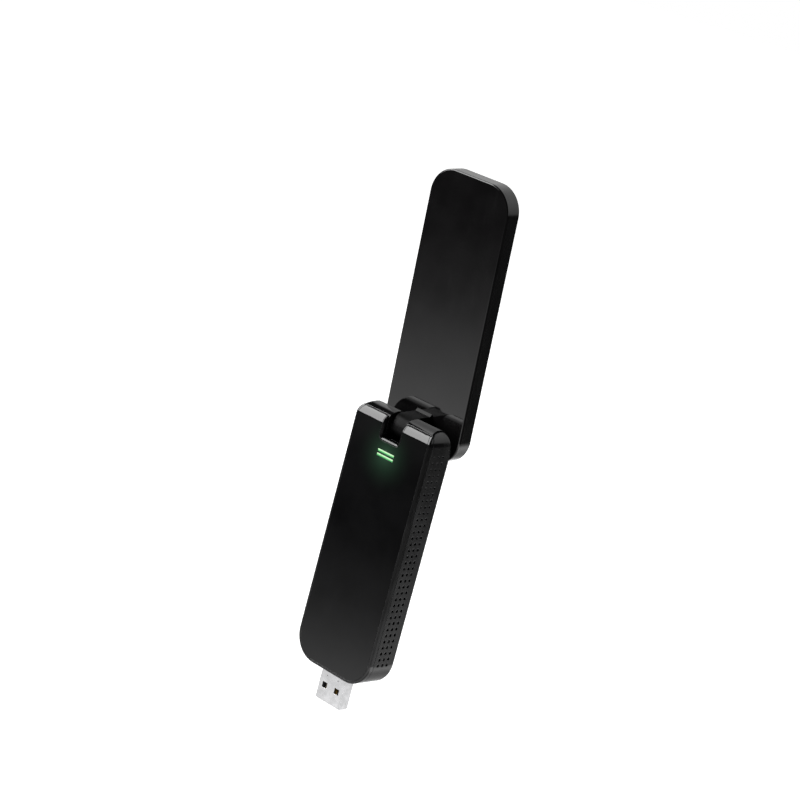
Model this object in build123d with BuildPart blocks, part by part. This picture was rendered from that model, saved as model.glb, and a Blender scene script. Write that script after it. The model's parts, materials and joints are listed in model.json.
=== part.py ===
from build123d import *
import os
from math import cos, radians, sin

# USB wireless adapter with a flat folding antenna. Millimetres, +Z up along the adapter, the plug down,
# the glossy front towards -Y. The origin is the middle of the casing's plug end, where the plug's
# shoulder meets a socket. At rest the antenna stands open, leaning a few degrees over the front.

os.makedirs("parts", exist_ok=True)

# ---- casing ----
body_width = 35.0
body_thickness = 12.5
body_length = 93.7
plug_end_corner = 9.5
hinge_end_corner = 6.2
hinge_corner_lift = 1.2
front_roll_rise = 4.7
back_rounding_rise = 10.6
crest_y = 0.8
wall = 1.3
front_y = -body_thickness / 2
back_y = body_thickness / 2
split_y = front_y + 1.75
front_roll_z = body_length - front_roll_rise
groove_width = 0.25
groove_depth = 0.25
back_edge_radius = 1.3
front_edge_radius = 0.5

# ---- glossy front plate, let into the bezel ----
rim_width = 1.1
seam_gap = 0.1
plate_thickness = 0.9

# ---- hinge: a slot through the casing's end, and an arm that turns in it ----
axis_y = 0.9
axis_z = 89.3
lean = 5.0
slot_half_width = 3.95
slot_floor = 84.7
slot_corner = 0.7
slot_edge_radius = 0.8
arm_half_width = 3.65
arm_radius = 4.3
cheek = 1.3
pin_radius = 1.5
sleeve_radius = 2.0
sleeve_bore = 1.0
running_clearance = 0.05
channel_end = 1.9
pin_end = -1.7
pin_chamfer = 0.2
washer_radius = 2.2
washer_thickness = 0.5
pin_far_x = -12.2
washer_x = -11.9
clip_sheet = 0.45
clip_opening = 1.2
clip_low_x = -10.2
clip_high_x = -6.2
clip_tail_z = 83.6
clip_rib_top_z = 86.4
clip_rib_front_y = 1.7
clip_rib_side = 0.8
sleeve_tail = 1.6
sleeve_flange_radius = 2.5
sleeve_flange_thickness = 0.6
arm_chamfer = 0.25
arm_root_rise = 0.9
arm_root_half_width = 3.45
flange_thickness = 1.5
flange_half_width = 8.5
flange_high_u = 12.0
flange_corner = 1.5
arm_screw_places = [(-5.6, 7.8), (5.6, 7.8)]
arm_boss_radius = 1.9
screw_hole_gap = 0.1

# ---- antenna, measured from the hinge axis: n away from the casing, u up along the antenna ----
antenna_near_n = 7.55
antenna_thickness = 6.2
antenna_low_u = -9.8
antenna_high_u = 87.5
antenna_corner = 9.5
cover_thickness = 1.2
antenna_wall = 1.2
antenna_edge_radius = 0.6
cover_edge_radius = 0.45
cover_gap = 0.1
element_half_width = 13.5
element_low_u = 17.0
element_high_u = 83.0
element_corner = 4.0
element_thickness = 0.8
element_back_n = 11.6
trace_thickness = 0.1
trace_width = 1.6
trace_places = (-9.0, 9.0)
trace_middle_u = 50.0
trace_length = 28.0
trace_foot_length = 5.0
foam_size = (16.0, 12.0)
foam_u = 62.0
peg_places = [(side * 10.5, u) for side in (-1, 1) for u in (22.0, 78.0)]
peg_radius = 0.7
peg_shoulder_radius = 1.4
peg_proud = 0.3

# ---- side vents: rows of round holes that grow smaller towards the hinge ----
vent_rows = 35
vent_first_z = 9.6
vent_row_pitch = 2.22
vent_column_pitch = 2.2
vent_middle_y = -0.1
vent_large_radius = 0.56
vent_small_radius = 0.34

# ---- status light ----
light_half_width = 3.7
light_bars = (80.25, 78.75)
light_bar_height = 0.8
light_gap = 0.05
led_height = 0.7

# ---- USB-A plug ----
plug_width = 12.0
plug_height = 4.5
plug_reach = 12.0
plug_inside = 6.5
plug_sheet = 0.3
plug_y = -0.25
window_size = (2.2, 2.1)
window_x = 2.95
window_z = -6.55
dimple_x = 2.7
dimple_z = -2.7
dimple_radius = 0.35
dimple_depth = 0.12
plug_corner = 0.6
fold_seam = 0.12
mouth_chamfer = 0.12
tongue_width = 11.3
tongue_thickness = 1.95
tongue_back_y = plug_y + plug_height / 2 - plug_sheet
tongue_tip_z = -11.4
tongue_base_z = -1.0
tongue_corner = 0.35
tongue_chamfer = 0.25
contact_places = (-3.5, -1.0, 1.0, 3.5)
contact_width = 1.0
contact_thickness = 0.25
contact_front_y = tongue_back_y - tongue_thickness - 0.08
contact_tip_z = -10.4
contact_rear_z = plug_inside + contact_thickness
contact_foot = 1.0

# ---- circuit board ----
board_front_y = plug_y + plug_height / 2
board_thickness = 1.0
board_back_y = board_front_y + board_thickness
led_front_y = board_front_y - led_height - 0.1
board_half_width = 14.5
board_low_z = 2.6
board_high_z = 82.0
board_corner = 6.0
screw_radius = 0.8
screw_head_radius = 1.45
screw_head_height = 0.9
drive_length = 1.6
drive_width = 0.4
screw_tip_y = back_y - 0.8
post_radius = 2.0
post_places = [(side * 11.0, z) for side in (-1, 1) for z in (13.0, 63.5)]
shield_low_z = 28.0
shield_high_z = 58.0
shield_half_width = 9.5
shield_height = 2.0
shield_sheet = 0.25
lid_skirt = 0.8
spreader_base = 0.8
fin_count = 7
fin_pitch = 2.9
fin_width = 0.9
fin_height = 1.6

# ---- pairing button, on the left side ----
button_y = vent_middle_y
button_z = 71.6
button_length = 7.6
button_height = 3.4
button_proud = 0.35
button_gap = 0.15
button_edge_radius = 0.3
button_flange = 1.2
button_flange_gap = 0.05
button_flange_thickness = 0.6
button_flange_x = -body_width / 2 + wall + button_flange_gap
switch_x = -14.3
switch_y = 1.05
switch_depth = 3.3
switch_length = 4.4
plunger_radius = 0.6
plunger_length = 1.5
plunger_hole_depth = 0.8

# ---- inner coax ----
coax_radius = 0.57
coax_x = 11.5
coax_socket_z = 70.0
coax_bend = 3.0
coax_overlap = 0.3
coax_channel_left = 1.5
coax_channel_half = 0.9
coax_start_gap = 0.15
coax_turn_x = -0.3
coax_turn_radius = 1.4
coax_run_n = 11.0

tail_y = axis_y + pin_radius + running_clearance + clip_sheet / 2
n_axis = Vector(0, cos(radians(lean)), sin(radians(lean)))
axis_point = (0, axis_y, axis_z)
antenna_front = Plane(origin=axis_point, x_dir=(1, 0, 0), z_dir=-n_axis)
antenna_side = Plane(origin=axis_point, x_dir=n_axis, z_dir=(1, 0, 0))
away_from_body = Axis(axis_point, n_axis)
pieces = []


def facing_front(y):
    """A sketch plane across the casing at this y. It looks along -Y, so extrusions run forward."""
    return Plane.XZ.offset(-y)


def facing_antenna(n):
    """A sketch plane across the antenna at this n. Extrusions run towards the casing."""
    return antenna_front.offset(-n)


def casing_outline(inset):
    """The casing's outline seen from the front, drawn in by inset.

    Its top lies above the casing's, so that the corners meet the rounded hinge end at an angle.
    """
    low = inset
    high = body_length + hinge_corner_lift - inset
    with Locations((0, (low + high) / 2)):
        Rectangle(body_width - 2 * inset, high - low)
    fillet(vertices().group_by(Axis.Y)[0], plug_end_corner - inset)
    fillet(vertices().group_by(Axis.Y)[-1], hinge_end_corner - inset)


def casing_profile(inset):
    """The casing's side view, drawn in by inset. Its hinge end is rounded from the crest to both sides."""
    front = front_y + inset
    back = back_y - inset
    top = body_length - inset
    back_start = body_length - back_rounding_rise
    with BuildSketch() as profile:
        with BuildLine():
            Polyline((crest_y, top), (crest_y, -1), (front, -1), (front, front_roll_z))
            EllipticalCenterArc((crest_y, front_roll_z), crest_y - front, top - front_roll_z,
                                start_angle=90, arc_size=90)
        make_face()
        with BuildLine():
            Polyline((crest_y, top), (crest_y, -1), (back, -1), (back, back_start))
            EllipticalCenterArc((crest_y, back_start), back - crest_y, top - back_start,
                                start_angle=0, arc_size=90)
        make_face()
    return profile.sketch


def casing_form(inset):
    """The casing's whole form, drawn in by inset on every side."""
    with BuildPart() as form:
        with BuildSketch(facing_front(back_y)):
            casing_outline(inset)
        extrude(amount=body_thickness)
        with BuildSketch(Plane.YZ):
            add(casing_profile(inset))
        extrude(amount=body_width, both=True, mode=Mode.INTERSECT)
    return form.part


def antenna_outline(inset):
    """The antenna's outline seen from the front, drawn in by inset."""
    with Locations((0, (antenna_low_u + antenna_high_u) / 2)):
        RectangleRounded(
            body_width - 2 * inset,
            antenna_high_u - antenna_low_u - 2 * inset,
            antenna_corner - inset,
        )


def slot_outline(widening):
    """The hinge slot seen from the front, wider by widening on its sides and floor."""
    floor = slot_floor - widening
    with Locations((0, (floor + body_length + 2) / 2)):
        Rectangle(2 * (slot_half_width + widening), body_length + 2 - floor)
    fillet(vertices().group_by(Axis.Y)[0], slot_corner + widening)


def finish(part, label):
    """Name a finished piece and write it."""
    part.label = label
    export_step(part, f"parts/{label}.step")
    pieces.append(part)


def plate_form(gap):
    """The front plate's form, larger by gap all round its edge."""
    with BuildPart() as form:
        with BuildSketch(facing_front(split_y)):
            casing_outline(rim_width - gap)
        extrude(amount=body_thickness)
        with BuildSketch(Plane.YZ):
            add(casing_profile(0))
        extrude(amount=body_width, both=True, mode=Mode.INTERSECT)
        with BuildSketch(Plane.YZ):
            add(casing_profile(plate_thickness))
        extrude(amount=body_width, both=True, mode=Mode.SUBTRACT)
        with BuildSketch(facing_front(split_y)):
            slot_outline(rim_width - gap)
        extrude(amount=body_thickness, mode=Mode.SUBTRACT)
    return form.part


def light_windows(gap):
    """The two bars of the status light, larger by gap."""
    for bar_z in light_bars:
        with Locations((0, bar_z)):
            Rectangle(2 * (light_half_width + gap), light_bar_height + 2 * gap)


# ---- front bezel: the rim that holds the glossy plate ----
with BuildPart() as bezel:
    with BuildSketch(facing_front(split_y)):
        casing_outline(0)
    extrude(amount=split_y - front_y)
    with BuildSketch(Plane.YZ):
        add(casing_profile(0))
    extrude(amount=body_width, both=True, mode=Mode.INTERSECT)
    rim = edges().filter_by(
        lambda edge: edge.center().Y < split_y - 0.05
        and not (edge.geom_type == GeomType.LINE and abs(edge.center().Z - front_roll_z) < 0.01)
    )
    fillet(rim.filter_by(Axis.Y, reverse=True), front_edge_radius)
    with BuildSketch(facing_front(back_y)):
        slot_outline(0)
    extrude(amount=2 * body_thickness, mode=Mode.SUBTRACT)
    slot_rim = edges().filter_by(
        lambda edge: abs(edge.center().X) < slot_half_width + 0.01
        and edge.center().Y < split_y - 0.05
        and not (edge.geom_type == GeomType.LINE and abs(edge.tangent_at(0.5).Y) > 0.99)
    )
    fillet(slot_rim, slot_edge_radius)
    add(plate_form(seam_gap), mode=Mode.SUBTRACT)
    with BuildSketch(facing_front(back_y)):
        light_windows(light_gap)
    extrude(amount=2 * body_thickness, mode=Mode.SUBTRACT)
finish(bezel.part, "front_bezel")

with BuildPart() as plate:
    add(plate_form(0))
    with BuildSketch(facing_front(back_y)):
        light_windows(light_gap)
    extrude(amount=2 * body_thickness, mode=Mode.SUBTRACT)
finish(plate.part, "front_plate")

# ---- light pipe: a clear block with two bars that show in the front plate ----
with BuildPart() as light_pipe:
    with BuildSketch(facing_front(led_front_y)):
        with Locations((0, sum(light_bars) / 2)):
            Rectangle(2 * light_half_width, light_bars[0] - light_bars[1] + light_bar_height)
    extrude(amount=led_front_y - split_y)
    with BuildSketch(facing_front(split_y)):
        light_windows(0)
    extrude(amount=split_y - front_y)
finish(light_pipe.part, "light_pipe")

# ---- rear shell: a tub with vents in its sides and two lobes around the hinge slot ----
cavity_y = back_y - wall
lobe_inner_x = slot_half_width + cheek

with BuildPart() as cavity:
    add(casing_form(wall))
    with BuildSketch(facing_front(back_y)):
        slot_outline(cheek)
    extrude(amount=2 * body_thickness, mode=Mode.SUBTRACT)

with BuildPart() as groove:
    with BuildSketch(facing_front(split_y + groove_width)):
        with Locations((0, body_length / 2)):
            Rectangle(body_width + 2, body_length + 4)
    extrude(amount=groove_width)
    add(casing_form(groove_depth), mode=Mode.SUBTRACT)

with BuildPart() as shell:
    with BuildSketch(facing_front(back_y)):
        casing_outline(0)
    extrude(amount=back_y - split_y)
    with BuildSketch(Plane.YZ):
        add(casing_profile(0))
    extrude(amount=body_width, both=True, mode=Mode.INTERSECT)
    shell_rim = edges().filter_by(
        lambda edge: edge.center().Y > split_y + 0.05
        and not (edge.geom_type == GeomType.LINE and abs(edge.tangent_at(0.5).Y) > 0.99)
        and not (edge.geom_type == GeomType.LINE and abs(edge.tangent_at(0.5).X) > 0.99
                 and edge.center().Z > 1)
    )
    fillet(shell_rim, back_edge_radius)
    with BuildSketch(facing_front(back_y)):
        slot_outline(0)
    extrude(amount=2 * body_thickness, mode=Mode.SUBTRACT)
    add(cavity.part, mode=Mode.SUBTRACT)
    # Plug opening
    with BuildSketch(Plane.XY):
        with Locations((0, plug_y)):
            Rectangle(plug_width, plug_height)
    extrude(amount=wall, mode=Mode.SUBTRACT)
    # Hinge bores through both cheeks
    with BuildSketch(Plane.YZ):
        with Locations((axis_y, axis_z)):
            Circle(sleeve_radius)
    extrude(amount=lobe_inner_x + 0.1, mode=Mode.SUBTRACT)
    with BuildSketch(Plane.YZ):
        with Locations((axis_y, axis_z)):
            Circle(pin_radius + running_clearance)
    extrude(amount=-lobe_inner_x - 0.1, mode=Mode.SUBTRACT)
    # Button opening in the left side
    with BuildSketch(Plane.YZ.offset(-body_width / 2)):
        with Locations(Location((button_y, button_z), 90)):
            SlotOverall(button_length + 2 * button_gap, button_height + 2 * button_gap)
    extrude(amount=wall, mode=Mode.SUBTRACT)
    # Vents
    for side in (-1, 1):
        with BuildSketch(Plane.YZ.offset(side * (body_width / 2 - 2 * wall))):
            for row in range(vent_rows):
                row_z = vent_first_z + row * vent_row_pitch
                share = max(0, row - vent_rows / 2) / (vent_rows / 2)
                radius = vent_large_radius + share * (vent_small_radius - vent_large_radius)
                if side < 0 and abs(row_z - button_z) < button_length / 2 + vent_row_pitch:
                    continue
                for column in (-1, 0, 1):
                    with Locations((vent_middle_y + column * vent_column_pitch, row_z)):
                        Circle(radius)
        extrude(amount=side * 3 * wall, mode=Mode.SUBTRACT)
    # Posts that carry the board, bored for its screws
    with BuildSketch(facing_front(cavity_y)):
        with Locations(*post_places):
            Circle(post_radius)
    extrude(amount=cavity_y - board_back_y)
    with BuildSketch(facing_front(screw_tip_y)):
        with Locations(*post_places):
            Circle(screw_radius)
    extrude(amount=screw_tip_y - board_back_y, mode=Mode.SUBTRACT)
    # Rib that grips the friction clip's tail
    with BuildSketch(facing_front(cavity_y)):
        with Locations(((clip_low_x + clip_high_x) / 2, (clip_tail_z + clip_rib_top_z) / 2)):
            Rectangle(clip_high_x - clip_low_x + 2 * clip_rib_side, clip_rib_top_z - clip_tail_z)
    extrude(amount=cavity_y - clip_rib_front_y)
    with BuildSketch(Plane.YZ.offset(clip_low_x)):
        with Locations((tail_y, (clip_tail_z + clip_rib_top_z) / 2)):
            Rectangle(clip_sheet, clip_rib_top_z - clip_tail_z)
    extrude(amount=clip_high_x - clip_low_x, mode=Mode.SUBTRACT)
    # Groove along the parting line
    add(groove.part, mode=Mode.SUBTRACT)
finish(shell.part, "rear_shell")

# ---- USB-A plug: folded sheet shell, insulating tongue and four contacts ----
tip_z = -plug_reach
shell_inner_width = plug_width - 2 * plug_sheet
shell_inner_height = plug_height - 2 * plug_sheet

with BuildPart() as plug_shell:
    with BuildSketch(Plane.XY.offset(tip_z)):
        with Locations((0, plug_y)):
            RectangleRounded(plug_width, plug_height, plug_corner)
            RectangleRounded(shell_inner_width, shell_inner_height, plug_corner - plug_sheet,
                             mode=Mode.SUBTRACT)
    extrude(amount=plug_reach + plug_inside)
    # Latch windows on both broad faces
    with BuildSketch(facing_front(back_y)):
        with Locations((-window_x, window_z), (window_x, window_z)):
            Rectangle(*window_size)
    extrude(amount=2 * body_thickness, mode=Mode.SUBTRACT)
    # Small pressed dimples above the windows
    with BuildSketch(facing_front(plug_y - plug_height / 2 + dimple_depth)):
        with Locations((-dimple_x, dimple_z), (dimple_x, dimple_z)):
            Circle(dimple_radius)
    extrude(amount=dimple_depth, mode=Mode.SUBTRACT)
    # Fold seam down the back
    with BuildSketch(facing_front(plug_y + plug_height / 2)):
        with Locations((0, tip_z + plug_reach / 2)):
            Rectangle(fold_seam, plug_reach)
    extrude(amount=plug_sheet, mode=Mode.SUBTRACT)
    # Rolled mouth
    mouth = faces().sort_by(Axis.Z)[0].outer_wire().edges()
    chamfer(mouth, mouth_chamfer)
finish(plug_shell.part, "usb_shell")

with BuildPart() as tongue:
    with BuildSketch(Plane.XY.offset(tongue_tip_z)):
        with Locations((0, tongue_back_y - tongue_thickness / 2)):
            RectangleRounded(tongue_width, tongue_thickness, tongue_corner)
    extrude(amount=tongue_base_z - tongue_tip_z)
    with BuildSketch(Plane.XY.offset(tongue_base_z)):
        with Locations((0, plug_y)):
            RectangleRounded(tongue_width, shell_inner_height, tongue_corner)
    extrude(amount=plug_inside - tongue_base_z)
    # Grooves that the contacts lie in
    with BuildSketch(facing_front(contact_front_y + contact_thickness)):
        for contact_x in contact_places:
            with Locations((contact_x, (contact_tip_z + plug_inside) / 2)):
                Rectangle(contact_width, plug_inside - contact_tip_z)
    extrude(amount=contact_thickness, mode=Mode.SUBTRACT)
    chamfer(faces().sort_by(Axis.Z)[0].edges(), tongue_chamfer)
finish(tongue.part, "usb_tongue")

with BuildPart() as contacts:
    for contact_x in contact_places:
        with BuildSketch(Plane.YZ.offset(contact_x - contact_width / 2)):
            with BuildLine():
                Polyline(
                    (contact_front_y, contact_tip_z),
                    (contact_front_y, contact_rear_z),
                    (board_front_y - contact_thickness, contact_rear_z),
                    (board_front_y - contact_thickness, contact_rear_z + contact_foot),
                    (board_front_y, contact_rear_z + contact_foot),
                    (board_front_y, contact_rear_z - contact_thickness),
                    (contact_front_y + contact_thickness, contact_rear_z - contact_thickness),
                    (contact_front_y + contact_thickness, contact_tip_z),
                    close=True,
                )
            make_face()
        extrude(amount=contact_width)
finish(contacts.part, "usb_contacts")

# ---- circuit board and what is soldered to it ----
with BuildPart() as board:
    with BuildSketch(facing_front(board_back_y)):
        with Locations((0, (board_low_z + board_high_z) / 2)):
            Rectangle(2 * board_half_width, board_high_z - board_low_z)
        chamfer(vertices().group_by(Axis.Y)[0], board_corner)
        with Locations(*post_places):
            Circle(screw_radius, mode=Mode.SUBTRACT)
    extrude(amount=board_thickness)
finish(board.part, "main_board")

with BuildPart() as board_screws:
    with BuildSketch(facing_front(screw_tip_y)):
        with Locations(*post_places):
            Circle(screw_radius)
    extrude(amount=screw_tip_y - board_front_y)
    with BuildSketch(facing_front(board_front_y)):
        with Locations(*post_places):
            Circle(screw_head_radius)
    extrude(amount=screw_head_height)
    with BuildSketch(facing_front(board_front_y - screw_head_height / 2)):
        with Locations(*post_places):
            Rectangle(drive_length, drive_width)
            Rectangle(drive_width, drive_length)
    extrude(amount=screw_head_height / 2, mode=Mode.SUBTRACT)
finish(board_screws.part, "board_screws")


def board_block(label, places, width, length, height, edge=0.0):
    """Blocks of one size standing on the front of the board, in one node."""
    with BuildPart() as block:
        with BuildSketch(facing_front(board_front_y)):
            with Locations(*places):
                Rectangle(width, length)
        extrude(amount=height)
        if edge:
            tops = faces().group_by(Axis.Y)[0].edges()
            chamfer(tops, edge)
    finish(block.part, label)


board_block("wifi_chip", [(0, 43.0)], 9.0, 9.0, 0.9, 0.1)
board_block("amplifier_chips", [(-5.5, 52.5), (5.5, 52.5)], 3.0, 3.0, 0.75)
board_block("crystal", [(-5.5, 33.0)], 3.2, 2.5, 0.8, 0.1)
board_block("power_inductor", [(7.5, 18.5)], 4.0, 4.0, 1.8, 0.4)
board_block("regulator_chip", [(1.0, 18.5)], 3.0, 3.0, 0.9)
board_block("capacitors", [(-7.0 + 2.2 * k, 22.5) for k in range(3)] + [(11.0, 24.0), (-11.0, 24.0)],
            1.0, 1.9, 0.9)
board_block("status_leds", [(-2.0, board_high_z - 2.4), (2.0, board_high_z - 2.4)], 1.6, 0.8, led_height)
board_block("coax_socket", [(coax_x, coax_socket_z)], 2.6, 2.6, board_front_y - axis_y - coax_radius)

shield_middle_z = (shield_low_z + shield_high_z) / 2
shield_length = shield_high_z - shield_low_z
lid_y = board_front_y - shield_height

with BuildPart() as shield_frame:
    with BuildSketch(facing_front(board_front_y)):
        with Locations((0, shield_middle_z)):
            Rectangle(2 * shield_half_width, shield_length)
            Rectangle(2 * (shield_half_width - shield_sheet), shield_length - 2 * shield_sheet,
                      mode=Mode.SUBTRACT)
    extrude(amount=shield_height)
finish(shield_frame.part, "shield_frame")

with BuildPart() as shield_lid:
    with BuildSketch(facing_front(lid_y + lid_skirt)):
        with Locations((0, shield_middle_z)):
            Rectangle(2 * (shield_half_width + shield_sheet), shield_length + 2 * shield_sheet)
            Rectangle(2 * shield_half_width, shield_length, mode=Mode.SUBTRACT)
    extrude(amount=lid_skirt)
    with BuildSketch(facing_front(lid_y)):
        with Locations((0, shield_middle_z)):
            Rectangle(2 * (shield_half_width + shield_sheet), shield_length + 2 * shield_sheet)
    extrude(amount=shield_sheet)
finish(shield_lid.part, "shield_lid")

with BuildPart() as thermal_pad:
    with BuildSketch(facing_front(board_front_y - 0.9)):
        with Locations((0, 43.0)):
            Rectangle(10.0, 10.0)
    extrude(amount=shield_height - 0.9)
finish(thermal_pad.part, "thermal_pad")

with BuildPart() as heat_spreader:
    with BuildSketch(facing_front(lid_y - shield_sheet)):
        with Locations((0, shield_middle_z)):
            Rectangle(2 * shield_half_width, shield_length)
    extrude(amount=spreader_base)
    with BuildSketch(facing_front(lid_y - shield_sheet - spreader_base)):
        with Locations((0, shield_middle_z)):
            with GridLocations(fin_pitch, 1, fin_count, 1):
                Rectangle(fin_width, shield_length)
    extrude(amount=fin_height)
finish(heat_spreader.part, "heat_spreader")

# ---- hinge hardware along the axis ----
with BuildPart() as pin:
    with BuildSketch(Plane.YZ.offset(pin_far_x)):
        with Locations((axis_y, axis_z)):
            Circle(pin_radius)
    extrude(amount=pin_end - pin_far_x)
    chamfer(edges().filter_by(GeomType.CIRCLE), pin_chamfer)
finish(pin.part, "hinge_pin")

with BuildPart() as retainer:
    with BuildSketch(Plane.YZ.offset(washer_x)):
        with Locations((axis_y, axis_z)):
            Circle(washer_radius)
            Circle(pin_radius, mode=Mode.SUBTRACT)
    extrude(amount=washer_thickness)
finish(retainer.part, "pin_retainer")

with BuildPart() as friction_clip:
    with BuildSketch(Plane.YZ.offset(clip_low_x)):
        with Locations((axis_y, axis_z)):
            Circle(pin_radius + running_clearance + clip_sheet)
            Circle(pin_radius + running_clearance, mode=Mode.SUBTRACT)
        with Locations((axis_y, axis_z + pin_radius)):
            Rectangle(clip_opening, 2 * pin_radius, mode=Mode.SUBTRACT)
        # Tail that the rear shell's rib holds
        with Locations((tail_y, (clip_tail_z + axis_z) / 2)):
            Rectangle(clip_sheet, axis_z - clip_tail_z)
    extrude(amount=clip_high_x - clip_low_x)
finish(friction_clip.part, "friction_clip")

with BuildPart() as sleeve:
    with BuildSketch(Plane.YZ.offset(channel_end)):
        with Locations((axis_y, axis_z)):
            Circle(sleeve_radius)
    extrude(amount=lobe_inner_x + sleeve_tail - channel_end)
    with BuildSketch(Plane.YZ.offset(lobe_inner_x)):
        with Locations((axis_y, axis_z)):
            Circle(sleeve_flange_radius)
    extrude(amount=sleeve_flange_thickness)
    with BuildSketch(Plane.YZ):
        with Locations((axis_y, axis_z)):
            Circle(sleeve_bore)
    extrude(amount=body_width, mode=Mode.SUBTRACT)
finish(sleeve.part, "hinge_sleeve")

# ---- coax from the board up to the hinge axis, through the hollow sleeve ----
with BuildPart() as body_coax:
    with BuildLine():
        FilletPolyline(
            (coax_x, axis_y, coax_socket_z),
            (coax_x, axis_y, axis_z),
            (channel_end + coax_overlap, axis_y, axis_z),
            radius=coax_bend,
        )
    with BuildSketch(Plane.XY.offset(coax_socket_z)):
        with Locations((coax_x, axis_y)):
            Circle(coax_radius)
    sweep()
finish(body_coax.part, "coax_in_body")

# ---- antenna: hinge arm, glossy inner cover, outer shell and what they hold ----
far_n = antenna_near_n + antenna_thickness
cover_back_n = antenna_near_n + cover_thickness
floor_n = far_n - antenna_wall
flange_back_n = cover_back_n + flange_thickness
channel_width = channel_end + coax_channel_left
element_front_n = element_back_n - element_thickness
arm_screw_tip_n = far_n - 0.7

with BuildPart() as arm:
    with BuildSketch(antenna_side.offset(-arm_half_width)):
        Circle(arm_radius)
        with Locations((cover_back_n / 2, 0)):
            Rectangle(cover_back_n, 2 * arm_radius)
    extrude(amount=2 * arm_half_width)
    side_edges = edges().filter_by(
        lambda edge: abs(abs(edge.center().X) - arm_half_width) < 0.01
        and edge.center().Y < axis_y + antenna_near_n
    )
    chamfer(side_edges, arm_chamfer)
    # Sloped root where the arm's top meets the antenna
    with BuildSketch(antenna_side.offset(-arm_root_half_width)):
        with BuildLine():
            Polyline(
                (antenna_near_n - arm_root_rise, arm_radius),
                (antenna_near_n, arm_radius + arm_root_rise),
                (antenna_near_n, arm_radius),
                close=True,
            )
        make_face()
    extrude(amount=2 * arm_root_half_width)
    with BuildSketch(facing_antenna(flange_back_n)):
        with Locations((0, (flange_high_u - arm_radius) / 2)):
            RectangleRounded(2 * flange_half_width, flange_high_u + arm_radius, flange_corner)
    extrude(amount=flange_thickness)
    # Bores for the pin on the left and the sleeve on the right
    with BuildSketch(Plane.YZ):
        with Locations((axis_y, axis_z)):
            Circle(pin_radius)
    extrude(amount=-arm_half_width, mode=Mode.SUBTRACT)
    with BuildSketch(Plane.YZ):
        with Locations((axis_y, axis_z)):
            Circle(sleeve_radius + running_clearance)
    extrude(amount=arm_half_width, mode=Mode.SUBTRACT)
    # Cable channel back to the antenna
    with BuildSketch(facing_antenna(flange_back_n)):
        with Locations(((channel_end - coax_channel_left) / 2, 0)):
            Rectangle(channel_width, 2 * coax_channel_half)
    extrude(amount=flange_back_n, mode=Mode.SUBTRACT)
    # Screw holes in the flange, with room for the heads
    with BuildSketch(facing_antenna(flange_back_n)):
        with Locations(*arm_screw_places):
            Circle(screw_radius + screw_hole_gap)
    extrude(amount=flange_thickness, mode=Mode.SUBTRACT)
    with BuildSketch(facing_antenna(cover_back_n + screw_head_height)):
        with Locations(*arm_screw_places):
            Circle(screw_head_radius + screw_hole_gap)
    extrude(amount=screw_head_height, mode=Mode.SUBTRACT)
finish(arm.part, "hinge_arm")

with BuildPart() as inner_cover:
    with BuildSketch(facing_antenna(cover_back_n)):
        antenna_outline(0)
    extrude(amount=cover_thickness)
    fillet(faces().sort_by(away_from_body)[0].edges(), cover_edge_radius)
    with BuildSketch(facing_antenna(cover_back_n)):
        Rectangle(2 * (arm_half_width + cover_gap), 2 * (arm_radius + cover_gap))
    extrude(amount=cover_thickness, mode=Mode.SUBTRACT)
finish(inner_cover.part, "antenna_inner_cover")

with BuildPart() as outer_shell:
    with BuildSketch(facing_antenna(far_n)):
        antenna_outline(0)
    extrude(amount=far_n - cover_back_n)
    fillet(faces().sort_by(away_from_body)[-1].edges(), antenna_edge_radius)
    with BuildSketch(facing_antenna(floor_n)):
        antenna_outline(antenna_wall)
    extrude(amount=floor_n - cover_back_n, mode=Mode.SUBTRACT)
    # Bosses for the arm's screws
    with BuildSketch(facing_antenna(floor_n)):
        with Locations(*arm_screw_places):
            Circle(arm_boss_radius)
    extrude(amount=floor_n - flange_back_n)
    with BuildSketch(facing_antenna(arm_screw_tip_n)):
        with Locations(*arm_screw_places):
            Circle(screw_radius)
    extrude(amount=arm_screw_tip_n - flange_back_n, mode=Mode.SUBTRACT)
    # Pegs that locate the antenna board
    with BuildSketch(facing_antenna(floor_n)):
        with Locations(*peg_places):
            Circle(peg_shoulder_radius)
    extrude(amount=floor_n - element_back_n)
    with BuildSketch(facing_antenna(element_back_n)):
        with Locations(*peg_places):
            Circle(peg_radius)
    extrude(amount=element_thickness + peg_proud)
finish(outer_shell.part, "antenna_outer_shell")

with BuildPart() as arm_screws:
    with BuildSketch(facing_antenna(arm_screw_tip_n)):
        with Locations(*arm_screw_places):
            Circle(screw_radius)
    extrude(amount=arm_screw_tip_n - cover_back_n)
    with BuildSketch(facing_antenna(cover_back_n + screw_head_height)):
        with Locations(*arm_screw_places):
            Circle(screw_head_radius)
    extrude(amount=screw_head_height)
    with BuildSketch(facing_antenna(cover_back_n + screw_head_height / 2)):
        with Locations(*arm_screw_places):
            Rectangle(drive_length, drive_width)
            Rectangle(drive_width, drive_length)
    extrude(amount=screw_head_height / 2, mode=Mode.SUBTRACT)
finish(arm_screws.part, "arm_screws")

with BuildPart() as element_board:
    with BuildSketch(facing_antenna(element_back_n)):
        with Locations((0, (element_low_u + element_high_u) / 2)):
            RectangleRounded(2 * element_half_width, element_high_u - element_low_u, element_corner)
        with Locations(*peg_places):
            Circle(peg_radius, mode=Mode.SUBTRACT)
    extrude(amount=element_thickness)
finish(element_board.part, "antenna_board")

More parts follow.
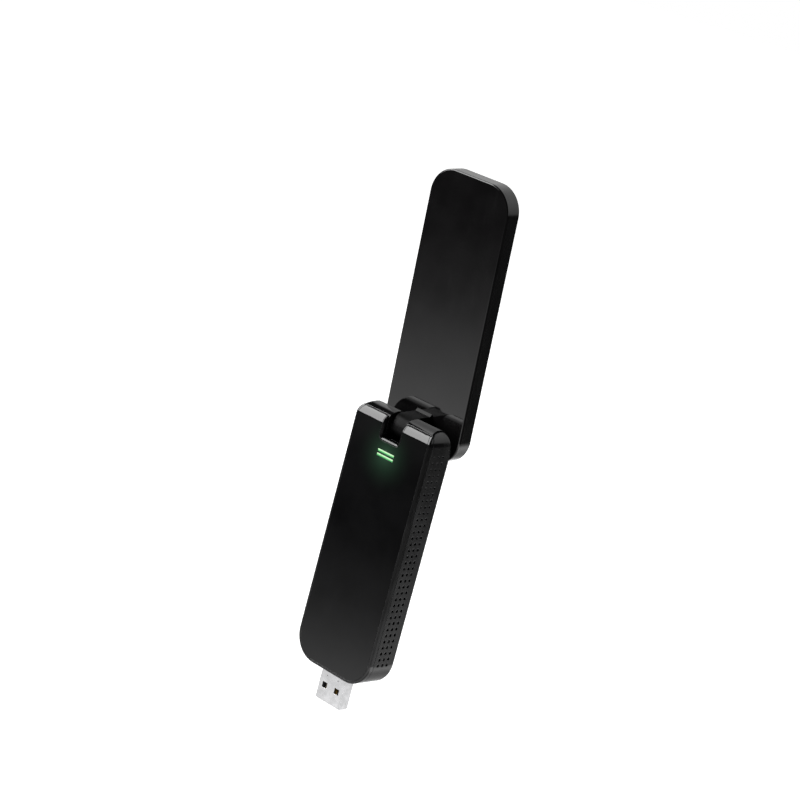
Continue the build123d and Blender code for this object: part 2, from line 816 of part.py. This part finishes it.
with BuildPart() as traces:
    with BuildSketch(facing_antenna(element_front_n)):
        for trace_x in trace_places:
            with Locations((trace_x, trace_middle_u)):
                Rectangle(trace_width, trace_length)
            for foot_u in (trace_middle_u - trace_length / 2, trace_middle_u + trace_length / 2):
                with Locations((trace_x, foot_u)):
                    Rectangle(trace_foot_length, trace_width)
        with Locations((0, element_low_u + trace_width)):
            Rectangle(trace_places[-1] - trace_places[0], trace_width)
        with Locations((0, (element_low_u + trace_middle_u) / 2)):
            Rectangle(trace_width, trace_middle_u - element_low_u - 2)
        with Locations((0, trace_middle_u)):
            Rectangle(trace_places[-1] - trace_places[0], trace_width)
    extrude(amount=trace_thickness)
finish(traces.part, "antenna_traces")

with BuildPart() as foam_pad:
    with BuildSketch(facing_antenna(element_front_n - trace_thickness)):
        with Locations((0, foam_u)):
            RectangleRounded(*foam_size, 1.0)
    extrude(amount=element_front_n - trace_thickness - cover_back_n)
finish(foam_pad.part, "foam_pad")

with BuildPart() as antenna_coax:
    start = antenna_side.offset(channel_end - coax_start_gap)
    with BuildLine():
        FilletPolyline(
            start.origin,
            antenna_side.offset(coax_turn_x).origin,
            antenna_side.offset(coax_turn_x).from_local_coords((coax_run_n, 0, 0)),
            antenna_side.offset(coax_turn_x).from_local_coords((coax_run_n, element_low_u - 0.2, 0)),
            radius=coax_turn_radius,
        )
    with BuildSketch(start):
        Circle(coax_radius)
    sweep()
finish(antenna_coax.part, "coax_in_antenna")

# ---- pairing button and its switch ----
with BuildPart() as button:
    with BuildSketch(Plane.YZ.offset(-body_width / 2 - button_proud)):
        with Locations(Location((button_y, button_z), 90)):
            SlotOverall(button_length, button_height)
    extrude(amount=button_proud + wall + button_flange_gap)
    fillet(faces().sort_by(Axis.X)[0].edges(), button_edge_radius)
    with BuildSketch(Plane.YZ.offset(button_flange_x)):
        with Locations(Location((button_y, button_z), 90)):
            SlotOverall(button_length + button_flange, button_height + button_flange)
    extrude(amount=button_flange_thickness)
finish(button.part, "wps_button")

with BuildPart() as plunger:
    with BuildSketch(Plane.YZ.offset(button_flange_x + button_flange_thickness)):
        with Locations((switch_y, button_z)):
            Circle(plunger_radius)
    extrude(amount=plunger_length)
finish(plunger.part, "switch_plunger")

with BuildPart() as switch:
    with BuildSketch(facing_front(board_front_y)):
        with Locations((switch_x + switch_depth / 2, button_z)):
            Rectangle(switch_depth, switch_length)
    extrude(amount=2 * (board_front_y - switch_y))
    with BuildSketch(Plane.YZ.offset(switch_x)):
        with Locations((switch_y, button_z)):
            Circle(plunger_radius + running_clearance)
    extrude(amount=plunger_hole_depth, mode=Mode.SUBTRACT)
finish(switch.part, "tact_switch")
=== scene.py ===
"""The looks of a USB wireless adapter with a folding antenna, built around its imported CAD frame."""

import json
import math

import bpy
from mathutils import Matrix, Vector


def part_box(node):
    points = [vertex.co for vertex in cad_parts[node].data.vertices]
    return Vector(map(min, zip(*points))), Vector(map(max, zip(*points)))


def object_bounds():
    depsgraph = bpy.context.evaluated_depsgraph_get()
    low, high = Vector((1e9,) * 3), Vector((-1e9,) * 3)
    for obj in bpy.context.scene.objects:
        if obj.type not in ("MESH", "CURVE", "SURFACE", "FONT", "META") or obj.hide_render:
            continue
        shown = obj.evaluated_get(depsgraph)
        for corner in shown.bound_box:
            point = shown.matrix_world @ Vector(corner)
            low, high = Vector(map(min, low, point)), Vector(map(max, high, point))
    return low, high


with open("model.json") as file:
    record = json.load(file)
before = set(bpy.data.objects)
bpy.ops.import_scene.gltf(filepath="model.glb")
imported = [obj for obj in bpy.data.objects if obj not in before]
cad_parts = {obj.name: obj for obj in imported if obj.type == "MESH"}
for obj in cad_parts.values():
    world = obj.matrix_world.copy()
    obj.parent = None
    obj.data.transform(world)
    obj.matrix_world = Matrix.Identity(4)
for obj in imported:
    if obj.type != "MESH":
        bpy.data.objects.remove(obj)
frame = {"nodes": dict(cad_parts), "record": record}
cad_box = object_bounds()
nodes = frame["nodes"]
slot_of = {part["node"]: part["material_slot"] for part in frame["record"]["subparts"]}
scene = bpy.context.scene

# ---------------------------------------------------------------- camera
CAMERA_AZIMUTH = 39.88
CAMERA_ELEVATION = 13.31
CAMERA_ROLL = 14.91
CAMERA_DISTANCE = 0.8198
CAMERA_TARGET = Vector((-0.00522, 0.0, 0.09726))
CAMERA_LENS = 109.46
SENSOR_WIDTH = 36.0


def add_camera():
    azimuth = math.radians(CAMERA_AZIMUTH)
    elevation = math.radians(CAMERA_ELEVATION)
    look = Vector(
        (
            -math.sin(azimuth) * math.cos(elevation),
            math.cos(azimuth) * math.cos(elevation),
            -math.sin(elevation),
        )
    )
    level = look.cross(Vector((0, 0, 1))).normalized()
    right = Matrix.Rotation(math.radians(-CAMERA_ROLL), 3, look) @ level
    axes = Matrix((right, right.cross(look), -look)).transposed()
    data = bpy.data.cameras.new("camera")
    data.lens = CAMERA_LENS
    data.sensor_width = SENSOR_WIDTH
    data.clip_start = 0.01
    data.clip_end = 20
    camera = bpy.data.objects.new("camera", data)
    scene.collection.objects.link(camera)
    camera.matrix_world = Matrix.Translation(CAMERA_TARGET - look * CAMERA_DISTANCE) @ axes.to_4x4()
    scene.camera = camera


# ---------------------------------------------------------------- node helpers
class Shader:
    """A material's node tree, with short calls for the nodes that every finish here uses."""

    def __init__(self, name):
        self.material = bpy.data.materials.new(name)
        self.material.use_nodes = True
        self.tree = self.material.node_tree
        self.bsdf = self.tree.nodes["Principled BSDF"]
        self.place = self.node("ShaderNodeTexCoord").outputs["Object"]

    def node(self, kind, **settings):
        made = self.tree.nodes.new(kind)
        for key, value in settings.items():
            setattr(made, key, value)
        return made

    def link(self, source, target):
        self.tree.links.new(source, target)

    def set(self, **values):
        """Even values, set on the shader's own sockets."""
        for key, value in values.items():
            self.bsdf.inputs[key.replace("_", " ")].default_value = value

    def math(self, operation, first, second=None):
        made = self.node("ShaderNodeMath", operation=operation)
        for socket, value in zip(made.inputs, (first, second)):
            if isinstance(value, (int, float)):
                socket.default_value = value
            elif value is not None:
                self.link(value, socket)
        return made.outputs[0]

    def stretched(self, stretch):
        mapping = self.node("ShaderNodeMapping")
        mapping.inputs["Scale"].default_value = stretch
        self.link(self.place, mapping.inputs["Vector"])
        return mapping.outputs["Vector"]

    def noise(self, scale, detail=3.0, stretch=None):
        made = self.node("ShaderNodeTexNoise")
        made.inputs["Scale"].default_value = scale
        made.inputs["Detail"].default_value = detail
        self.link(self.stretched(stretch) if stretch else self.place, made.inputs["Vector"])
        return made.outputs["Fac"]

    def parts(self):
        """The X, Y and Z of the place, in metres in the shared frame."""
        made = self.node("ShaderNodeSeparateXYZ")
        self.link(self.place, made.inputs[0])
        return made.outputs

    def remap(self, value, low, high, to_low, to_high):
        made = self.node("ShaderNodeMapRange")
        self.link(value, made.inputs["Value"])
        for key, number in zip(("From Min", "From Max", "To Min", "To Max"), (low, high, to_low, to_high)):
            made.inputs[key].default_value = number
        return made.outputs["Result"]

    def blend(self, share, first, second):
        """A colour between two others. Each is a colour or a socket."""
        made = self.node("ShaderNodeMix", data_type="RGBA")
        self.link(share, made.inputs["Factor"])
        for key, value in (("A", first), ("B", second)):
            socket = [s for s in made.inputs if s.name == key and s.type == "RGBA"][0]
            if isinstance(value, tuple):
                socket.default_value = (*value, 1)
            else:
                self.link(value, socket)
        return [s for s in made.outputs if s.type == "RGBA"][0]

    def bevel(self, radius):
        made = self.node("ShaderNodeBevel", samples=4)
        made.inputs["Radius"].default_value = radius
        return made.outputs["Normal"]

    def bump(self, height, depth, normal=None):
        made = self.node("ShaderNodeBump")
        made.inputs["Strength"].default_value = 1.0
        made.inputs["Distance"].default_value = depth
        self.link(height, made.inputs["Height"])
        if normal is not None:
            self.link(normal, made.inputs["Normal"])
        return made.outputs["Normal"]


# ---------------------------------------------------------------- surface recipes
# Noise scales are in cycles per metre.
CLOUD_SCALE = 90.0
SMEAR_SCALE = 260.0
SMEAR_STRETCH = (1.0, 1.0, 0.35)
SCRATCH_SCALE = 420.0
LONG_SCRATCH = (1.0, 1.0, 0.02)
CROSS_SCRATCH = (0.02, 1.0, 0.7)
TARNISH_SCALE = 350.0
TARNISH_SHADE = 0.82
# Size of the patches in the painted edge highlight.
EDGE_HIGHLIGHT_PATCH_SCALE = 1400.0
HANDLING = 0.5
PLASTIC_IOR = 1.48
BRUSH_DEPTH = 0.000003


def scratches(shader):
    """Sparse hairlines in two directions, from 0 to 1."""
    first = shader.noise(SCRATCH_SCALE, 2.0, LONG_SCRATCH)
    second = shader.noise(SCRATCH_SCALE * 0.8, 2.0, CROSS_SCRATCH)
    first = shader.remap(first, 0.66, 0.72, 0.0, 1.0)
    second = shader.remap(second, 0.68, 0.74, 0.0, 1.0)
    return shader.math("MAXIMUM", first, second)


def polish(shader, glossy, roughness):
    """Bring the roughness down to an even low value where glossy is 1."""
    rough = shader.bsdf.inputs["Roughness"].links[0].from_socket
    kept = shader.math("MULTIPLY", shader.math("SUBTRACT", 1.0, glossy), rough)
    level = shader.math("ADD", kept, shader.math("MULTIPLY", glossy, roughness))
    shader.link(level, shader.bsdf.inputs["Roughness"])


def plastic(name, colour, roughness, spread, grain, grain_size, edge=0.00012):
    """Moulded plastic. The grain is a depth, and it, its size and the edge's radius are in metres."""
    shader = Shader(name)
    cloud = shader.noise(CLOUD_SCALE, 4.0)
    lighter = tuple(min(1.0, channel * 1.5 + 0.001) for channel in colour)
    tone = shader.blend(shader.remap(cloud, 0.35, 0.65, 0.0, 1.0), colour, lighter)
    shader.link(tone, shader.bsdf.inputs["Base Color"])
    smear = shader.noise(SMEAR_SCALE, 5.0, SMEAR_STRETCH)
    level = shader.remap(smear, 0.3, 0.7, roughness - spread * HANDLING, roughness + spread)
    marks = shader.math("MULTIPLY", scratches(shader), spread * 0.8)
    shader.link(shader.math("ADD", level, marks), shader.bsdf.inputs["Roughness"])
    fine = shader.noise(1.0 / grain_size, 3.0)
    shader.link(shader.bump(fine, grain, shader.bevel(edge)), shader.bsdf.inputs["Normal"])
    shader.set(IOR=PLASTIC_IOR)
    return shader


def metal(name, colour, roughness, spread, brush, stretch, edge=0.00008):
    """Plated or brushed metal, with faint lines along one direction."""
    shader = Shader(name)
    lines = shader.noise(brush, 4.0, stretch)
    tarnish = shader.noise(TARNISH_SCALE, 5.0)
    dark = tuple(channel * TARNISH_SHADE for channel in colour)
    tone = shader.blend(shader.remap(tarnish, 0.35, 0.7, 0.0, 1.0), colour, dark)
    shader.link(tone, shader.bsdf.inputs["Base Color"])
    uneven = shader.math("ADD", lines, tarnish)
    level = shader.remap(uneven, 0.7, 1.3, roughness - spread, roughness + spread)
    shader.link(level, shader.bsdf.inputs["Roughness"])
    shader.link(shader.bump(lines, BRUSH_DEPTH, shader.bevel(edge)), shader.bsdf.inputs["Normal"])
    shader.set(Metallic=1.0)
    return shader


def paint_edge_highlights(shader, edge, colour):
    """A painted highlight along the edges, paler where the rounded normal turns away from the true one, in
    patches.
    """
    bevel = shader.bevel(edge)
    turned = shader.node("ShaderNodeVectorMath", operation="DOT_PRODUCT")
    shader.link(bevel, turned.inputs[0])
    shader.link(shader.node("ShaderNodeNewGeometry").outputs["Normal"], turned.inputs[1])
    patchy = shader.remap(shader.noise(EDGE_HIGHLIGHT_PATCH_SCALE, 3.0), 0.3, 0.6, 0.5, 1.0)
    edge_highlight = shader.math("MULTIPLY", shader.remap(turned.outputs["Value"], 0.97, 0.8, 0.0, 1.0), patchy)
    tone = shader.bsdf.inputs["Base Color"].links[0].from_socket
    shader.link(shader.blend(edge_highlight, tone, colour), shader.bsdf.inputs["Base Color"])
    return shader


# ---------------------------------------------------------------- finishes
# Places in metres in the shared frame. The casing's rounded hinge end starts at ROLL_Z and is highest at CREST_Y.
CREST_Y = 0.0008
ROLL_Z = 0.0885
ROLL_ROUGHNESS = 0.11
# The gap between the two lit bars.
LIGHT_GAP = 0.0007
# The painted green glow on the front round the status light.
GLOW_RADIUS = 0.016
GLOW_FALL = 3.2
GLOW_STRENGTH = 0.075
# The antenna's lean at rest, and how far out from the hinge axis the arm turns glossy.
ARM_LEAN = math.radians(5)
ARM_ROOT = 0.0066
ARM_IOR = 1.17
ROOT_ROUGHNESS = 0.06
# Radii of the softened edges.
BEZEL_EDGE = 0.00015
SHELL_EDGE = 0.00025


def polish_roll(shader):
    """The front half of the casing's rounded hinge end is as glossy as the front."""
    place = shader.parts()
    front = shader.remap(place["Y"], CREST_Y - 0.00005, CREST_Y + 0.00005, 1.0, 0.0)
    top = shader.remap(place["Z"], ROLL_Z, ROLL_Z + 0.0003, 0.0, 1.0)
    polish(shader, shader.math("MULTIPLY", front, top), ROLL_ROUGHNESS)
    return shader


def gloss_black():
    """Piano black, with a painted green glow round the status light."""
    shader = plastic("gloss_black", (0.0022, 0.0022, 0.0024), 0.03, 0.025, 0.0000004, 0.004, edge=0.0001)
    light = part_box("light_pipe")
    middle = [(low + high) / 2 for low, high in zip(*light)]
    # Painted glow: emission on the front plate that fades with distance from the status light.
    away = shader.node("ShaderNodeVectorMath", operation="DISTANCE")
    shader.link(shader.place, away.inputs[0])
    away.inputs[1].default_value = (middle[0], light[0][1], middle[2])
    near = shader.remap(away.outputs["Value"], 0.0, GLOW_RADIUS, 1.0, 0.0)
    glow = shader.math("POWER", near, GLOW_FALL)
    shader.link(shader.math("MULTIPLY", glow, GLOW_STRENGTH), shader.bsdf.inputs["Emission Strength"])
    shader.set(Emission_Color=(0.32, 0.9, 0.48, 1))
    return shader


def bezel_black():
    shader = plastic("bezel_black", (0.003, 0.003, 0.0032), 0.14, 0.05, 0.000001, 0.00035, edge=BEZEL_EDGE)
    # The pale edge colour is a painted highlight.
    return polish_roll(paint_edge_highlights(shader, BEZEL_EDGE, (0.08, 0.08, 0.083)))


def satin_black():
    shader = plastic("satin_black", (0.0035, 0.0035, 0.0037), 0.22, 0.05, 0.000003, 0.00016, edge=SHELL_EDGE)
    # The pale edge colour is a painted highlight.
    return polish_roll(paint_edge_highlights(shader, SHELL_EDGE, (0.11, 0.11, 0.115)))


def light_green():
    """The two lit bars, pale along the top and a deeper green along the bottom."""
    shader = Shader("light_green")
    low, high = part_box("light_pipe")
    pitch = (high[2] - low[2] + LIGHT_GAP) / 2
    above = shader.math("SUBTRACT", shader.parts()["Z"], low[2])
    row = shader.math("FRACT", shader.math("DIVIDE", above, pitch))
    upper = shader.remap(row, 0.12, 0.36, 0.0, 1.0)
    ripple = shader.noise(700.0, 2.0, (1.0, 1.0, 0.3))
    pale = shader.blend(ripple, (0.30, 0.50, 0.27), (0.42, 0.60, 0.38))
    tone = shader.blend(upper, (0.03, 0.28, 0.07), pale)
    shader.link(tone, shader.bsdf.inputs["Emission Color"])
    shader.link(tone, shader.bsdf.inputs["Base Color"])
    shader.link(shader.remap(ripple, 0.3, 0.7, 0.85, 1.0), shader.bsdf.inputs["Emission Strength"])
    shader.link(shader.remap(ripple, 0.3, 0.7, 0.12, 0.2), shader.bsdf.inputs["Roughness"])
    return shader


def plug_steel():
    return metal("plug_steel", (0.73, 0.73, 0.74), 0.17, 0.05, 900.0, (1.0, 1.0, 0.03))


def insulator_black():
    return plastic("insulator_black", (0.008, 0.008, 0.008), 0.42, 0.08, 0.000004, 0.0002)


def contact_gold():
    return metal("contact_gold", (0.86, 0.62, 0.25), 0.2, 0.06, 1200.0, (1.0, 1.0, 0.05))


def board_green():
    """Solder mask with tracks that show as fine ridges."""
    shader = plastic("board_green", (0.01, 0.075, 0.03), 0.3, 0.06, 0.000003, 0.0004)
    tracks = shader.node("ShaderNodeTexWave", bands_direction="DIAGONAL")
    tracks.inputs["Scale"].default_value = 320.0
    tracks.inputs["Distortion"].default_value = 3.0
    shader.link(shader.place, tracks.inputs["Vector"])
    ridge = shader.remap(tracks.outputs["Fac"], 0.72, 0.8, 0.0, 1.0)
    tone = shader.blend(ridge, (0.01, 0.075, 0.03), (0.02, 0.13, 0.05))
    shader.link(tone, shader.bsdf.inputs["Base Color"])
    shader.link(shader.bump(ridge, 0.00003), shader.bsdf.inputs["Normal"])
    return shader


def screw_steel():
    return metal("screw_steel", (0.58, 0.58, 0.6), 0.28, 0.07, 1500.0, (1.0, 0.1, 1.0))


def chip_black():
    return plastic("chip_black", (0.018, 0.018, 0.018), 0.55, 0.08, 0.000006, 0.00012)


def ceramic_tan():
    return plastic("ceramic_tan", (0.42, 0.29, 0.17), 0.4, 0.08, 0.000003, 0.0002)


def led_white():
    shader = plastic("led_white", (0.75, 0.8, 0.7), 0.35, 0.06, 0.000002, 0.0002)
    shader.set(Emission_Color=(0.35, 1.0, 0.45, 1), Emission_Strength=1.5)
    return shader


def shield_tin():
    return metal("shield_tin", (0.66, 0.66, 0.64), 0.3, 0.08, 500.0, (1.0, 1.0, 0.1))


def pad_grey():
    return plastic("pad_grey", (0.35, 0.37, 0.4), 0.7, 0.08, 0.00001, 0.0003)


def spreader_aluminium():
    return metal("spreader_aluminium", (0.78, 0.78, 0.8), 0.36, 0.06, 900.0, (1.0, 1.0, 0.04))


def sleeve_brass():
    return metal("sleeve_brass", (0.75, 0.56, 0.26), 0.24, 0.06, 2500.0, (1.0, 0.05, 0.05))


def coax_black():
    return plastic("coax_black", (0.012, 0.012, 0.012), 0.45, 0.08, 0.000005, 0.0002)


def arm_black():
    """Matt black on the knuckle that turns in the slot, glossy where the arm joins the antenna."""
    shader = plastic("arm_black", (0.0016, 0.0016, 0.0017), 0.45, 0.06, 0.000004, 0.00015, edge=0.0001)
    joints = frame["record"]["behaviour"]["joints"]
    axis = next(joint["pos_m"] for joint in joints if joint["name"] == "antenna_fold")
    place = shader.parts()
    forward = shader.math("MULTIPLY", shader.math("SUBTRACT", place["Y"], axis[1]), math.cos(ARM_LEAN))
    upward = shader.math("MULTIPLY", shader.math("SUBTRACT", place["Z"], axis[2]), math.sin(ARM_LEAN))
    reach = shader.math("ADD", forward, upward)
    root = shader.remap(reach, ARM_ROOT - 0.0002, ARM_ROOT + 0.0002, 0.0, 1.0)
    polish(shader, root, ROOT_ROUGHNESS)
    shader.set(IOR=ARM_IOR)
    return shader


def antenna_gloss():
    return plastic("antenna_gloss", (0.003, 0.0028, 0.003), 0.05, 0.03, 0.0000005, 0.004, edge=0.00012)


def antenna_satin():
    return plastic("antenna_satin", (0.004, 0.004, 0.0042), 0.14, 0.04, 0.0000015, 0.0002, edge=0.0002)


def trace_copper():
    return metal("trace_copper", (0.8, 0.42, 0.22), 0.3, 0.08, 1200.0, (1.0, 1.0, 0.1))


def foam_black():
    return plastic("foam_black", (0.03, 0.03, 0.03), 0.85, 0.08, 0.00012, 0.0005)


def button_black():
    return plastic("button_black", (0.012, 0.012, 0.0125), 0.34, 0.06, 0.000005, 0.00018, edge=0.0002)


def switch_black():
    return plastic("switch_black", (0.02, 0.02, 0.02), 0.5, 0.08, 0.000004, 0.0002)


FINISHES = (
    gloss_black, bezel_black, satin_black, light_green, plug_steel, insulator_black, contact_gold,
    board_green, screw_steel, chip_black, ceramic_tan, led_white, shield_tin, pad_grey,
    spreader_aluminium, sleeve_brass, coax_black, arm_black, antenna_gloss, antenna_satin,
    trace_copper, foam_black, button_black, switch_black,
)


def dress_nodes():
    """Give every CAD node the finish of its material slot."""
    made = {finish.__name__: finish().material for finish in FINISHES}
    for name, piece in nodes.items():
        material = made[slot_of[name]]
        if not piece.material_slots:
            piece.data.materials.append(material)
        for slot in piece.material_slots:
            slot.material = material


# ---------------------------------------------------------------- studio
FLOOR_RADIUS = 4.0
FLOOR_GAP = 0.0002
FLOOR_SHADE = 0.8
FLOOR_GLOW = 0.85


def add_floor():
    """A plain white floor under the plug. Reflections and bounce light come from the world instead."""
    material = bpy.data.materials.new("floor_white")
    material.use_nodes = True
    bsdf = material.node_tree.nodes["Principled BSDF"]
    bsdf.inputs["Base Color"].default_value = (FLOOR_SHADE, FLOOR_SHADE, FLOOR_SHADE, 1)
    bsdf.inputs["Roughness"].default_value = 0.9
    bsdf.inputs["Specular IOR Level"].default_value = 0.0
    bsdf.inputs["Emission Color"].default_value = (1, 1, 1, 1)
    bsdf.inputs["Emission Strength"].default_value = FLOOR_GLOW
    mesh = bpy.data.meshes.new("floor")
    level = cad_box[0][2] - FLOOR_GAP
    signs = ((-1, -1), (1, -1), (1, 1), (-1, 1))
    corners = [(x * FLOOR_RADIUS, y * FLOOR_RADIUS, level) for x, y in signs]
    mesh.from_pydata(corners, [], [(0, 1, 2, 3)])
    mesh.materials.append(material)
    floor = bpy.data.objects.new("floor", mesh)
    scene.collection.objects.link(floor)
    floor.visible_glossy = False
    floor.visible_diffuse = False
    floor.visible_transmission = False
    floor.visible_shadow = False


HINGE_END = Vector((0.0, 0.0, 0.09))
# The studio's brightness by the height of the direction, from -1 straight down to 1 straight up. The floor is lit
# close by and dark further off. Two more ramps add to it: a wall behind the object, bright above the horizon, and
# a faint sheen in front, for the top of the glossy front.
STUDIO_FLOOR = (
    (-1.0, 0.25), (-0.6, 0.35), (-0.46, 1.0), (-0.39, 0.95), (-0.345, 0.47),
    (-0.315, 0.13), (-0.285, 0.02), (-0.2, 0.02), (0.0, 0.01), (1.0, 0.01),
)
STUDIO_SHEEN = ((-1.0, 0.0), (-0.26, 0.0), (-0.24, 0.045), (-0.2, 0.03), (0.0, 0.0), (1.0, 0.0))
STUDIO_WALL = ((-1.0, 0.0), (0.0, 0.0), (0.1, 0.3), (0.35, 0.45), (0.6, 0.55), (1.0, 0.45))
# How far behind (+Y) or in front (-Y) a direction points where the wall and the sheen start and are full.
WALL_EDGE = (0.4, 0.5)
SHEEN_EDGE = (0.0, -0.3)
STUDIO_STRENGTH = 2.0


def add_world():
    """White behind the object, and a soft studio in what it reflects."""
    world = bpy.data.worlds.new("studio")
    world.use_nodes = True
    tree = world.node_tree
    link = tree.links.new
    output = tree.nodes["World Output"]
    white = tree.nodes["Background"]
    white.inputs["Color"].default_value = (1, 1, 1, 1)
    white.inputs["Strength"].default_value = 1.0
    studio = tree.nodes.new("ShaderNodeBackground")
    studio.inputs["Strength"].default_value = STUDIO_STRENGTH
    place = tree.nodes.new("ShaderNodeTexCoord")
    parts = tree.nodes.new("ShaderNodeSeparateXYZ")
    link(place.outputs["Generated"], parts.inputs[0])
    height = tree.nodes.new("ShaderNodeMapRange")
    height.inputs["From Min"].default_value = -1.0
    link(parts.outputs["Z"], height.inputs["Value"])

    def ramp_of(levels):
        ramp = tree.nodes.new("ShaderNodeValToRGB")
        stops = ramp.color_ramp.elements
        while len(stops) > 1:
            stops.remove(stops[-1])
        for index, (z, level) in enumerate(levels):
            stop = stops[0] if index == 0 else stops.new((z + 1) / 2)
            stop.position = (z + 1) / 2
            stop.color = (level, level, level, 1)
        link(height.outputs["Result"], ramp.inputs["Fac"])
        return ramp.outputs["Color"]

    behind = tree.nodes.new("ShaderNodeMapRange")
    behind.inputs["From Min"].default_value, behind.inputs["From Max"].default_value = WALL_EDGE
    link(parts.outputs["Y"], behind.inputs["Value"])
    before = tree.nodes.new("ShaderNodeMapRange")
    before.inputs["From Min"].default_value, before.inputs["From Max"].default_value = SHEEN_EDGE
    link(parts.outputs["Y"], before.inputs["Value"])

    def add_share(share, levels, rest):
        made = tree.nodes.new("ShaderNodeMath")
        made.operation = "MULTIPLY_ADD"
        link(share.outputs["Result"], made.inputs[0])
        link(ramp_of(levels), made.inputs[1])
        link(rest, made.inputs[2])
        return made.outputs[0]

    level = add_share(behind, STUDIO_WALL, ramp_of(STUDIO_FLOOR))
    link(add_share(before, STUDIO_SHEEN, level), studio.inputs["Color"])
    path = tree.nodes.new("ShaderNodeLightPath")
    mix = tree.nodes.new("ShaderNodeMixShader")
    link(path.outputs["Is Camera Ray"], mix.inputs["Fac"])
    link(studio.outputs[0], mix.inputs[1])
    link(white.outputs[0], mix.inputs[2])
    link(mix.outputs[0], output.inputs["Surface"])
    scene.world = world


# The directions of the softbox's two ends, seen from the hinge end.
SOFTBOX_LOW = (-0.624, -0.781, -0.01)
SOFTBOX_HIGH = (-0.624, -0.16, 0.765)
SOFTBOX_DISTANCE = 1.0
SOFTBOX_WIDTH = 0.5
SOFTBOX_WATTS = 15.0


def add_softbox():
    """A rectangular soft light that faces the casing's hinge end."""
    first = Vector(SOFTBOX_LOW).normalized()
    last = Vector(SOFTBOX_HIGH).normalized()
    away = (first + last).normalized()
    along = (last - first).normalized()
    data = bpy.data.lights.new("left_softbox", "AREA")
    data.shape = "RECTANGLE"
    data.size = SOFTBOX_WIDTH
    data.size_y = 2 * SOFTBOX_DISTANCE * math.tan(first.angle(last) / 2)
    data.energy = SOFTBOX_WATTS
    light = bpy.data.objects.new("left_softbox", data)
    scene.collection.objects.link(light)
    axes = Matrix((along.cross(away), along, away)).transposed()
    light.matrix_world = Matrix.Translation(HINGE_END + away * SOFTBOX_DISTANCE) @ axes.to_4x4()


add_camera()
scene.view_settings.view_transform = "Standard"
dress_nodes()
add_floor()
add_world()
add_softbox()
